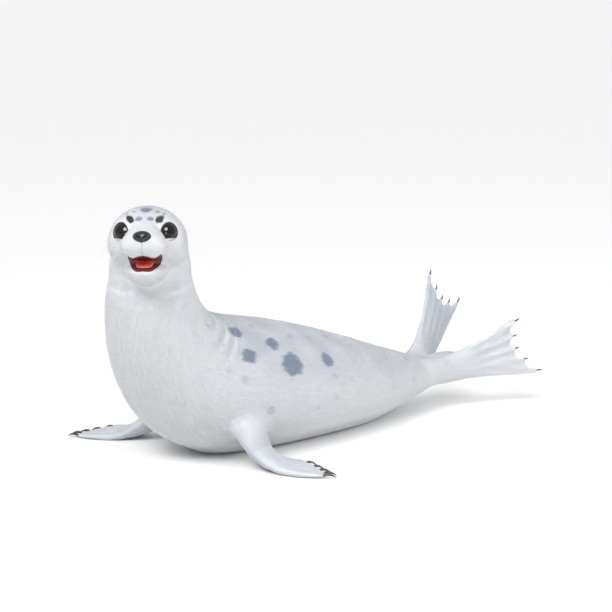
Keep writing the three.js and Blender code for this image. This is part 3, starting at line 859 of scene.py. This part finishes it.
NOSE_GRAIN = 0.0006
NOSE_SWELL = 0.0003
ROUNDING = 10  # rounds of evening for the nose, and for the tongue
CREASE_DEPTH = 0.0012
CREASE_HALF = 0.0011
nose_mesh = remeshed(("nose",), NOSE_SWELL, NOSE_GRAIN)
nose_points = evened(read_points(nose_mesh), neighbours(nose_mesh), ROUNDING)
ahead, aside, above = head_place(nose_points).T
crease = CREASE_DEPTH * hump(aside, CREASE_HALF) * ramp(above, 0.008, 0.001)
move_points(nose_mesh, nose_points - AHEAD * crease[:, None])

# Bare leather, always damp: black, with a broad soft gloss that its grain breaks up.
leather, tree, shader = finish_named(
    "wet_nose_leather", Base_Color=linear("#0e0d10"), Roughness=0.42, Coat_Weight=0.25, Coat_Roughness=0.22)
# The cells of the leather are 0.7 mm wide in life, and drawn at about twice that so that they show.
cells = pattern(tree, "TexVoronoi", 1.3)
raise_by(tree, shader, (cells, "Distance"), 0.5, 0.0004, invert=True)
show("nose_pad", nose_mesh, leather, ("nose",))

# ---------------------------------------------------------------------------------------------
# The tongue: a thick muscle that lies in the lower jaw, rooted at the back of the mouth, grooved
# along its middle and rough with fine buds.

TONGUE_GRAIN = 0.0008
TONGUE_SWELL = 0.0002
GROOVE_DEPTH = 0.0016
GROOVE_HALF = 0.0022
tongue_mesh = remeshed(("tongue",), TONGUE_SWELL, TONGUE_GRAIN)
tongue_points = evened(read_points(tongue_mesh), neighbours(tongue_mesh), ROUNDING)
ahead, aside, above = head_place(tongue_points).T
groove = GROOVE_DEPTH * hump(aside, GROOVE_HALF) * ramp(ahead, 0.084, 0.07)
move_points(tongue_mesh, tongue_points - DORSAL * groove[:, None])

# Wet red muscle: light goes a little way in, and the film of spit gives small bright glints.
muscle, tree, shader = finish_named(
    "wet_tongue", Base_Color=linear("#e0604f"), Roughness=0.34, Coat_Weight=0.5, Coat_Roughness=0.15,
    Subsurface_Weight=0.15, Subsurface_Scale=0.004)
# The buds are 0.5 mm wide in life, and drawn at about twice that so that they show.
buds = pattern(tree, "TexVoronoi", 1.1)
raise_by(tree, shader, (buds, "Distance"), 0.4, 0.0004, invert=True)
show("tongue_flesh", tongue_mesh, muscle, ("tongue",))

# ---------------------------------------------------------------------------------------------
# The claws: five on each flipper, one grown out over the end of each finger bone, short, round and
# bent down towards the point.

# Dark horn, grown in layers and polished by sand and ice: smooth, a little glossy, streaked.
horn, tree, shader = finish_named("dark_claw_horn", Roughness=0.33)
# The layers of growth are 0.5 mm thick in life, and drawn coarser, at 2.8 mm, so that they show.
growth = pattern(tree, "TexNoise", 2.8, {"Detail": 5})
feed(tree, shader, "Base Color", mixed(tree, (growth, "Fac"), "#2c2723", "#5a5048"))
raise_by(tree, shader, (growth, "Fac"), 0.3, 0.0003)
CLAW_RING = 6  # corners of each of the two outer rings of a claw's solid
CLAW_BURIED = 0.22  # share of the claw's length that is set into the flipper
CLAW_STEPS = 16
CLAW_THICK = 1.04  # of the solid's radius, at the root
CLAW_THINS = 0.96  # how much of the solid's radius it loses by the tip
CLAW_BLUNT = 1.9  # the higher, the later it thins out


def tapered_rods(name, paths, radii, roundness):
    """One mesh of round rods along the paths, with the radius at each point of each."""
    curves = bpy.data.curves.new(name, "CURVE")
    curves.dimensions = "3D"
    curves.bevel_depth = 1.0
    curves.bevel_resolution = roundness
    curves.use_fill_caps = True
    for path, path_radii in zip(paths, radii):
        spline = curves.splines.new("POLY")
        spline.points.add(len(path) - 1)
        spline.points.foreach_set("co", np.column_stack([path, np.ones(len(path))]).ravel())
        spline.points.foreach_set("radius", np.asarray(path_radii, float))
    mesh = final_mesh(in_scene(name + "_curves", curves))
    mesh.name = name
    return mesh


def claw_rod(claw, wrist):
    """The path and radii of a claw bent in one even arc, in place of the six-sided solid."""
    corners = np.unique(read_points(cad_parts[claw].data).round(6), axis=0)
    corners = corners[np.argsort(np.linalg.norm(corners - wrist, axis=1))]
    tip = corners[-CLAW_RING:].mean(0)
    ring = corners[-2 * CLAW_RING:-CLAW_RING]
    middle = ring.mean(0)
    radius = np.linalg.norm(ring - middle, axis=1).mean()
    root = corners[:-2 * CLAW_RING].mean(0)
    bend = 2 * middle - (root + tip) / 2
    t = np.linspace(-CLAW_BURIED, 1, CLAW_STEPS)[:, None]
    path = (1 - t) ** 2 * root + 2 * t * (1 - t) * bend + t**2 * tip
    return path, radius * (CLAW_THICK - CLAW_THINS * np.maximum(t[:, 0], 0) ** CLAW_BLUNT)


for limb in FORE + HIND:
    wrist, claws = fingers(limb)
    name = limb.replace("flipper", "claws")
    claw_mesh = tapered_rods(name, *zip(*[claw_rod(claw, wrist) for claw in claws]), 3)
    show(name, claw_mesh, horn, claws)

# ---------------------------------------------------------------------------------------------
# The coat: short stiff guard hair that lies flat from the nose to the tail and down each
# flipper, shortest on the face and feet. Each hair lock is a small closed sliver, set in the
# hide at its root, and carries the hide's markings.

HAIR_SIZES = dict.fromkeys(TRUNK, (0.0086, 0.0011)) | {  # length and width
    "neck": (0.0074, 0.0010), "head": (0.0052, 0.0008), "lower_jaw": (0.0034, 0.0007),
    "nose": (0.002, 0.0005), "eye_left": (0.003, 0.0005), "eye_right": (0.003, 0.0005),
    "tail": (0.006, 0.0009)} | dict.fromkeys(FORE + HIND, (0.0050, 0.0009))
LOCKS = 362000  # over the whole body
BALDING = 1.4  # how fast the locks thin out towards bare skin
ROOT_SUNK = 0.0004
SHORT_EDGE, SHORT_LIP, SHORT_MUZZLE = 0.65, 0.5, 0.5  # how much shorter the hair is there
SHORTEST = 0.2
SIZE_BLEND = 160  # rounds over which one part's size of lock runs into the next
SWINGS = (0.16, 0.035, 3), (0.10, 0.011, 4)  # how far the lie wanders, over what length, and a seed
LOOSE = 0.09  # how far each lock turns from its neighbours
LIFT = (3, 9)  # degrees that the locks stand off the hide
STRAY_LIFT = (2, 6)
STRAYS = 0.02  # share of the locks that stand off by that much more
BACK_HIGH = 0.42  # of the lock's width: how high its back is
BACK_ALONG = 0.22  # of its length
SLIVER_FACES = (0, 3, 1), (0, 2, 3), (1, 3, 2), (0, 1, 2)
PATCH = 0.003  # of the unwrap, for one lock
PATCH_CORNERS = (-0.5, -0.5), (0.5, -0.5), (0, 0), (0, 0.5)

NOSE_TIP = on_head(0.112, 0, -0.004)


def hair_way(points, normals, shares):
    """The way that the hair lies: back from the nose, tailwards on the trunk, and out along each limb."""
    nearest, _, _ = TRUNK_LINE.place(points)
    way = -TRUNK_LINE.ways[nearest] * share_of(shares, TRUNK)[:, None]
    way = way + unit(points - NOSE_TIP) * share_of(shares, HEAD + EYES + ("nose",))[:, None]
    for name, line in LIMB_LINES.items():
        nearest, _, _ = line.place(points)
        way = way + line.ways[nearest] * shares[:, [PARTS.index(name)]]
    return unit(way - normals * (way * normals).sum(1, keepdims=True))


def unwrap(points, line):
    """Where each point lies on the skin of its part rolled out flat, both ways from 0 to 1."""
    if line is None:
        ahead, aside, above = head_place(points).T
        flat = np.stack([ahead, np.arctan2(aside, above)], 1)
    else:
        _, along, turn = line.place(points)
        flat = np.stack([along, turn], 1)
    low, high = flat.min(0), flat.max(0)
    return (flat - low) / (high - low) * (1 - 2 * PATCH) + PATCH


hair_length, hair_width = (
    evened(shares @ np.array([[HAIR_SIZES[part][which]] for part in PARTS]), links, SIZE_BLEND)[:, 0]
    for which in range(2))
corner_a, corner_b, corner_c = (points[triangles[:, corner]] for corner in range(3))
crowd = np.linalg.norm(np.cross(corner_b - corner_a, corner_c - corner_a), axis=1)
crowd = crowd * np.clip(1 - BALDING * bare[triangles].mean(1), 0, 1)
crowd = crowd / (hair_length * hair_width)[triangles].mean(1)
crowd = crowd / crowd.sum()  # share of all locks that grows on each triangle
owner = np.argmax(shares, axis=1)
trunk_turn = TRUNK_LINE.place(points)[2]


def scattered(crowd, count, draw):
    """Evenly spread places on the triangles: each one's triangle, and its shares of the three corners."""
    reach = np.cumsum(crowd)
    picked = np.searchsorted(reach, (np.arange(count) + draw.random(count)) / count * reach[-1])
    picked = np.minimum(picked, len(crowd) - 1)
    first = np.sqrt(draw.random(count))
    second = draw.random(count)
    return picked, np.stack([1 - first, first * (1 - second), first * second], 1)


def hair_coat(name, parts, flank, line, material, seed):
    """One piece of coat over those parts, on the left for a flank of 1 and on the right for -1."""
    draw = np.random.default_rng(seed)
    mine = np.isin(owner, [PARTS.index(part) for part in parts])
    if flank:
        mine = mine & (trunk_turn * flank > 0)
    mine = mine[triangles[:, 0]]
    faces = triangles[mine]
    count = round(LOCKS * crowd[mine].sum())
    picked, corner_shares = scattered(crowd[mine], count, draw)
    corners = faces[picked]

    def at_roots(values):
        return np.einsum("rc,rc...->r...", corner_shares, values[corners])

    roots = at_roots(points)
    up = unit(at_roots(normals))
    part_share = at_roots(shares)
    way = hair_way(roots, up, part_share)
    side = np.cross(up, way)
    swing = sum(turn * waves(roots, size, kind) for turn, size, kind in SWINGS)
    swing = swing + draw.normal(0, LOOSE, count)
    way = way * np.cos(swing)[:, None] + side * np.sin(swing)[:, None]
    side = np.cross(up, way)
    shorter = 1 - SHORT_EDGE * at_roots(near_edge) - SHORT_LIP * at_roots(lip)
    shorter = np.maximum(shorter, SHORTEST)
    ahead = head_place(roots)[:, 0]
    on_face = part_share @ np.array([part in HEAD + ("nose",) for part in PARTS], float)
    shorter = shorter * (1 - SHORT_MUZZLE * on_face * ramp(ahead, 0.045, 0.085))
    length = at_roots(hair_length) * shorter
    width = at_roots(hair_width) * (0.5 + 0.5 * shorter)
    length = (length * draw.uniform(0.72, 1.22, count))[:, None]
    width = (width * draw.uniform(0.8, 1.2, count))[:, None]
    stray = (draw.random(count) < STRAYS) * draw.uniform(*STRAY_LIFT, count)
    lift = np.radians(draw.uniform(*LIFT, count) + stray)[:, None]
    root = roots - up * ROOT_SUNK
    slivers = np.stack([
        root + side * width / 2,
        root - side * width / 2,
        roots + up * width * BACK_HIGH + way * length * BACK_ALONG,
        roots + way * length * np.cos(lift) + up * length * np.sin(lift)], 1)
    slivers[..., 2] = np.maximum(slivers[..., 2], FLOOR_GAP / 2)
    facing = np.stack([up * 0.8 + side * 0.6, up * 0.8 - side * 0.6, up, up * 0.92 + way * 0.38], 1)
    faces = (np.arange(count)[:, None, None] * 4 + np.array(SLIVER_FACES)).reshape(-1)
    mesh = bpy.data.meshes.new(name)
    mesh.vertices.add(count * 4)
    mesh.vertices.foreach_set("co", slivers.astype(np.float32).ravel())
    mesh.loops.add(count * 12)
    mesh.loops.foreach_set("vertex_index", faces.astype(np.int32))
    mesh.polygons.add(count * 4)
    mesh.polygons.foreach_set("loop_start", np.arange(0, count * 12, 3, dtype=np.int32))
    mesh.update(calc_edges=True)
    patch = unwrap(roots, line)[:, None, :] + np.array(PATCH_CORNERS) * PATCH
    layer = mesh.uv_layers.new(name="OFBake")
    layer.data.foreach_set("uv", patch.reshape(-1, 2)[faces].astype(np.float32).ravel())
    marks = {mark: np.repeat(value, 4) for mark, value in markings(roots).items()}
    # How far along the lock each corner lies, from root to tip: the hair's finish darkens the root end by
    # it, a painted shade.
    marks["tip"] = np.tile([0.0, 0.0, 0.35, 1.0], count)
    marks["tone"] = np.repeat(draw.uniform(0, 1, count), 4)
    put_shares(mesh, marks)
    piece = show(name, mesh, material)
    mesh.normals_split_custom_set_from_vertices(unit(facing.reshape(-1, 3)))
    return piece


# Guard hair: dry, flat keratin with a soft gloss. Each lock is darker towards its root, a painted shade
# where the locks cover each other, and a little lighter at its tip.
hair, tree, shader = finish_named("dry_guard_hair", Roughness=0.5, Sheen_Weight=0.2, Sheen_Roughness=0.4)
# The greyer tint lies on the back, as in life, and on the flipper ends as a painted shade.
colour = marked_colour(tree, "#e6e8ec", {"saddle_and_flipper_shade": "#d2d6df", "spot": "#8f98ad", "brow": "#2b2624"})
# Painted shade: each lock darkens from its tip to its root, where the locks shade each other, and its tip
# ends a little lighter than the base colour.
tip = add(tree, "MapRange", {"To Min": 0.84, "To Max": 1.03}, {"Value": stored(tree, "tip")})
tone = add(tree, "MapRange", {"To Min": 0.90, "To Max": 1.05}, {"Value": stored(tree, "tone")})
shade = add(tree, "Math", None, {0: (tip, 0), 1: (tone, 0)}, operation="MULTIPLY")
shaded = add(tree, "VectorMath", None, {0: colour, 3: (shade, 0)}, operation="SCALE")
feed(tree, shader, "Base Color", (shaded, 0))

COATS = [("coat_hips", ("hips", "tail"), 0, TRUNK_LINE)]
COATS += [(f"coat_{part}_{side}", (part,), flank, TRUNK_LINE)
          for part in ("belly", "chest", "neck") for side, flank in (("left", 1), ("right", -1))]
COATS += [("coat_head", ("head", "nose") + EYES, 0, None), ("coat_jaw", ("lower_jaw",), 0, None)]
COATS += [("coat_" + limb, (limb,), 0, LIMB_LINES[limb]) for limb in FORE + HIND]
for seed, (name, parts, flank, line) in enumerate(COATS):
    hair_coat(name, parts, flank, line, hair, seed + 40)

# ---------------------------------------------------------------------------------------------
# The whiskers: stiff horn-like hairs in rows on the two pads of the upper lip, short in front
# and long behind, that sweep back and droop, and a few over each eye.

face = (head_place(points)[:, 0] > 0.02)[triangles].all(1)
face_tree = BVHTree.FromPolygons(points.tolist(), triangles[face].tolist())
WHISKER_STEPS = 9
WHISKER_THINS = 0.86  # how much of its radius it loses by the tip


def tapered_hairs(name, hairs, radius, material):
    """One mesh of round hairs, each given by its root, the way it starts along, the way it bends
    over to, and its length. They thin out to a point."""
    roots, ways, sweeps, lengths = map(np.array, zip(*hairs))
    share = np.linspace(0, 1, WHISKER_STEPS)[None, :, None]
    bends = ways[:, None] * share + (sweeps - ways)[:, None] * share**2 * 0.5
    paths = roots[:, None] + lengths[:, None, None] * bends
    radii = np.tile(radius * (1 - WHISKER_THINS * share[0, :, 0]), (len(roots), 1))
    return show(name, tapered_rods(name, paths, radii, 1), material)


# Whisker, a thick smooth hair of pale horn: creamy, with a waxy gloss.
bristle, tree, shader = finish_named("whisker_horn", Roughness=0.3)
# A seal's whisker is beaded every 3 mm, drawn at twice that as a change of tone.
beads = pattern(tree, "TexNoise", 6, {"Detail": 2})
feed(tree, shader, "Base Color", mixed(tree, (beads, "Fac"), "#bdbbb9", "#efeeec"))

WHISKER_ROWS = 6
WHISKERS_IN_ROW = 7
WHISKER_RADIUS = 0.00036
BROW_HAIRS = 4
BROW_HAIR_RADIUS = 0.00025
ROOT_DEPTH = 0.001
LIP_BARE = 0.006  # from the middle of the lip: no whisker grows nearer to it
for side, sign in (("left", 1), ("right", -1)):
    draw = np.random.default_rng(70 + sign)
    hairs = []
    for row in range(WHISKER_ROWS):
        for column in range(WHISKERS_IN_ROW):
            # Each row starts lower and farther back, and its whiskers grow longer backwards.
            ahead = 0.100 - 0.0048 * column - 0.0012 * row + draw.normal(0, 0.0004)
            above = -0.0015 - 0.0037 * row + 0.0006 * column + draw.normal(0, 0.0004)
            hit = face_tree.ray_cast(Vector(on_head(ahead, sign * 0.09, above)), Vector(-sign * LEFT))
            if hit[0] is None or abs(head_place(np.array(hit[0]))[1]) < LIP_BARE:
                continue
            out = np.array(hit[1])
            droop = DORSAL * (0.55 + 0.08 * row)
            hairs.append((
                np.array(hit[0]) - out * ROOT_DEPTH,
                unit(out * 0.75 + sign * LEFT * 0.35 - AHEAD * (0.10 + 0.06 * column)),
                unit(sign * LEFT * 0.70 - AHEAD * 0.50 - droop + draw.normal(0, 0.10, 3)),
                (0.014 + 0.0085 * column) * draw.uniform(0.85, 1.15)))
    tapered_hairs("whiskers_" + side, hairs, WHISKER_RADIUS, bristle)
    hairs = []
    for column in range(BROW_HAIRS):
        spot = on_head(0.30, sign * (0.0345 + 0.0030 * column), 0.0400 + 0.0012 * column)
        hit = face_tree.ray_cast(Vector(spot), Vector(-AHEAD))
        out = np.array(hit[1])
        hairs.append((
            np.array(hit[0]) - out * ROOT_DEPTH,
            unit(out + draw.normal(0, 0.1, 3)),
            unit(-AHEAD * 0.6 + sign * LEFT * 0.6 + DORSAL * 0.45),
            draw.uniform(0.014, 0.022)))
    tapered_hairs("brow_hairs_" + side, hairs, BROW_HAIR_RADIUS, bristle)

# ---------------------------------------------------------------------------------------------
# Floor, lights and camera: a wide sheet of pale paper under round softboxes, in a white room. The
# camera stands before the seal's left shoulder, so that the turned face looks straight at it.

# Matt paper has no gloss, so it shows only the soft shadow.
sheet = bmesh.new()
bmesh.ops.create_grid(sheet, x_segments=1, y_segments=1, size=2000)
floor = in_scene("floor", mesh_of("floor", sheet))
paper, tree, shader = finish_named("matt_studio_floor", Base_Color=linear("#fafaf9"), Roughness=0.9)
floor.data.materials.append(paper)

SUBJECT = Vector((-0.143, -0.001, 0.257))


def aimed(name, data, azimuth, elevation, distance):
    """A light or a camera on that side of the seal, in degrees, that looks at it."""
    turn, rise = math.radians(azimuth), math.radians(elevation)
    way = Vector((math.sin(turn) * math.cos(rise), -math.cos(turn) * math.cos(rise), math.sin(rise)))
    holder = in_scene(name, data)
    holder.location = SUBJECT + way * distance
    holder.rotation_euler = (-way).to_track_quat("-Z", "Y").to_euler()
    return holder


def softbox(name, azimuth, elevation, distance, size, watts):
    """A round light with a diffuser."""
    lamp = bpy.data.lights.new(name, "AREA")
    lamp.shape = "DISK"
    lamp.energy = watts
    lamp.size = size
    return aimed(name, lamp, azimuth, elevation, distance)


softbox("front_light", 142, 36, 2.8, 0.8, 5).visible_glossy = False
softbox("flank_light", 200, 25, 3.0, 1.6, 27).visible_glossy = False
softbox("catch_light", 142, 46, 2.8, 1.6, 90).visible_diffuse = False
softbox("low_catch_light", 142, 5, 2.8, 0.45, 8).visible_diffuse = False
softbox("side_light", 88, 40, 3.0, 1.4, 13).visible_glossy = False
sun = bpy.data.lights.new("key_light", "SUN")
sun.energy = 1.35
sun.angle = math.radians(28)
holder = in_scene("key_light", sun)
holder.rotation_euler = (math.radians(38), 0, math.radians(108))
holder.visible_glossy = False
bpy.context.scene.view_settings.view_transform = "Standard"
world = bpy.data.worlds.new("studio_walls")
bpy.context.scene.world = world
world.use_nodes = True
tree = world.node_tree
walls = tree.nodes["Background"]
walls.inputs["Color"].default_value = linear("#f4f5f6")
walls.inputs["Strength"].default_value = 0.70
far_floor = add(tree, "Background", {"Color": linear("#f3f4f4")})  # no line shows where the floor ends
by_camera = add(tree, "LightPath")
seen = add(tree, "MixShader", None, {0: (by_camera, "Is Camera Ray"), 1: (walls, 0), 2: (far_floor, 0)})
feed(tree, tree.nodes["World Output"], "Surface", (seen, 0))

lens = bpy.data.cameras.new("camera")
lens.sensor_width = 36
lens.lens = 93.6
lens.clip_end = 4000
bpy.context.scene.camera = aimed("camera", lens, 142, 11, 3.2)
